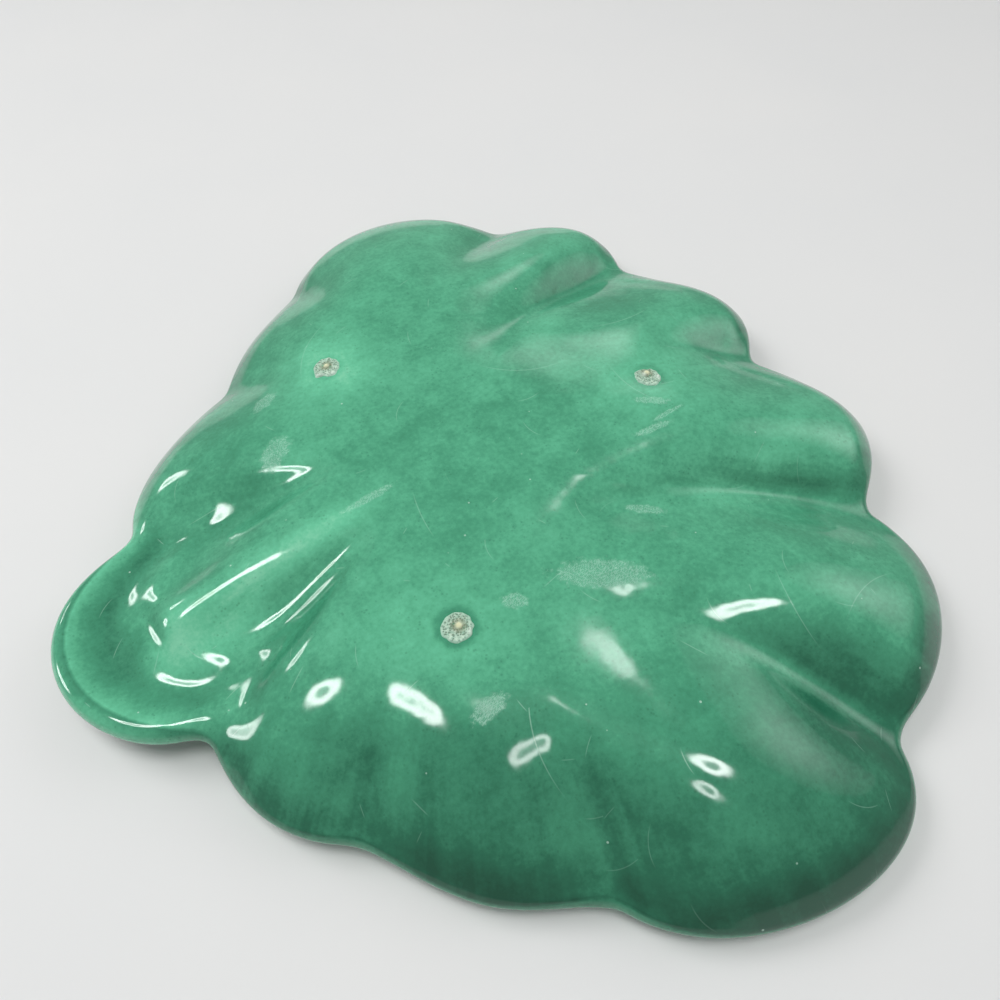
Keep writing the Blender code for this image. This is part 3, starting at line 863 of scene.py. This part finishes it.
def add_floor():
    bpy.ops.mesh.primitive_plane_add(size=FLOOR_SIZE, location=(0, 0, 0))
    floor = bpy.context.object
    floor.name = "floor"
    tree = Tree("floor_paper")
    paper = tree.mix(tree.noise(60 * MM), (0.70, 0.71, 0.71), (0.74, 0.74, 0.73))
    tree.put(tree.shader.inputs["Base Color"], paper)
    tree.shader.inputs["Roughness"].default_value = 0.6
    away = tree.vector("LENGTH", tree.place).outputs["Value"]
    seen = tree.nodes.new("ShaderNodeLightPath").outputs["Is Camera Ray"]
    tree.shader.inputs["Emission Color"].default_value = (1.0, 1.0, 1.0, 1.0)
    tree.put(tree.shader.inputs["Emission Strength"],
             tree.mul(seen, tree.mul(tree.steps(away, *FAR_FLOOR_RANGE), FAR_FLOOR)))
    floor.data.materials.append(tree.material)


def add_lamp(name, place, size, watts, core, edge, lights, shines):
    """A round softbox: its middle shines at the share core, and its edge fades to the room's light."""
    lamp = bpy.data.lights.new(name, "AREA")
    lamp.shape = "DISK"
    lamp.size = size
    lamp.energy = watts
    lamp.use_nodes = True
    nodes = lamp.node_tree.nodes
    links = lamp.node_tree.links
    across = nodes.new("ShaderNodeVectorMath")
    across.operation = "DISTANCE"
    links.new(nodes.new("ShaderNodeNewGeometry").outputs["Parametric"], across.inputs[0])
    across.inputs[1].default_value = (0.5, 0.5, 0.0)
    strength = nodes.new("ShaderNodeMath")
    strength.operation = "MULTIPLY"
    dim = WORLD_LIGHT * (math.pi * size / 2) ** 2 / watts
    for socket, low, high, first, last in ((strength.inputs[0], *LAMP_MIDDLE, core, 1.0),
                                           (strength.inputs[1], edge / 2, 0.5, 1.0, dim)):
        fade = nodes.new("ShaderNodeMapRange")
        fade.interpolation_type = "SMOOTHSTEP"
        links.new(across.outputs["Value"], fade.inputs["Value"])
        for limit, value in (("From Min", low), ("From Max", high), ("To Min", first), ("To Max", last)):
            fade.inputs[limit].default_value = value
        links.new(fade.outputs["Result"], socket)
    links.new(strength.outputs[0], nodes["Emission"].inputs["Strength"])
    holder = bpy.data.objects.new(name, lamp)
    bpy.context.scene.collection.objects.link(holder)
    holder.location = place
    holder.rotation_euler = (-Vector(place)).to_track_quat("-Z", "Y").to_euler()
    holder.visible_diffuse = lights
    holder.visible_glossy = shines


def add_world():
    """Even soft light from all round, with a pale backdrop for the camera alone."""
    world = bpy.data.worlds.new("studio")
    world.use_nodes = True
    nodes = world.node_tree.nodes
    background = nodes["Background"]
    background.inputs["Color"].default_value = (1, 1, 1, 1)
    level = nodes.new("ShaderNodeMapRange")
    seen = nodes.new("ShaderNodeLightPath").outputs["Is Camera Ray"]
    world.node_tree.links.new(seen, level.inputs["Value"])
    level.inputs["To Min"].default_value = WORLD_LIGHT
    level.inputs["To Max"].default_value = BACKDROP
    world.node_tree.links.new(level.outputs["Result"], background.inputs["Strength"])
    bpy.context.scene.world = world


def add_camera():
    pitch, roll, turn = CAMERA_PITCH, CAMERA_ROLL, CAMERA_TURN
    right = np.array([math.cos(roll), math.sin(roll) * math.sin(pitch), math.sin(roll) * math.cos(pitch)])
    up = np.array([-math.sin(roll), math.cos(roll) * math.sin(pitch), math.cos(roll) * math.cos(pitch)])
    ahead = np.array([0.0, math.cos(pitch), -math.sin(pitch)])
    spin = np.array([[math.cos(turn), math.sin(turn), 0], [-math.sin(turn), math.cos(turn), 0], [0, 0, 1]])
    matrix = Matrix.Identity(4)
    for column, axis in enumerate((spin @ right, spin @ up, -(spin @ ahead))):
        for row in range(3):
            matrix[row][column] = axis[row]
    matrix.translation = CAMERA_PLACE
    lens = bpy.data.cameras.new("camera")
    lens.lens = CAMERA_LENS
    lens.sensor_width = CAMERA_SENSOR
    lens.clip_start = CAMERA_CLIP
    camera = bpy.data.objects.new("camera", lens)
    bpy.context.scene.collection.objects.link(camera)
    camera.matrix_world = matrix
    bpy.context.scene.camera = camera


mark_places = [tuple((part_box(node)[0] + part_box(node)[1]) / 2) for node in MARK_NODES]
shell = add_shell(mark_places)
bpy.context.view_layer.update()
clay = clay_material()
for number, node in enumerate(MARK_NODES):
    add_mark(node, shell, clay, MARK_SEED + number)
add_floor()
for row in LAMPS:
    add_lamp(*row)
add_world()
add_camera()
bpy.context.scene.view_settings.view_transform = "Standard"
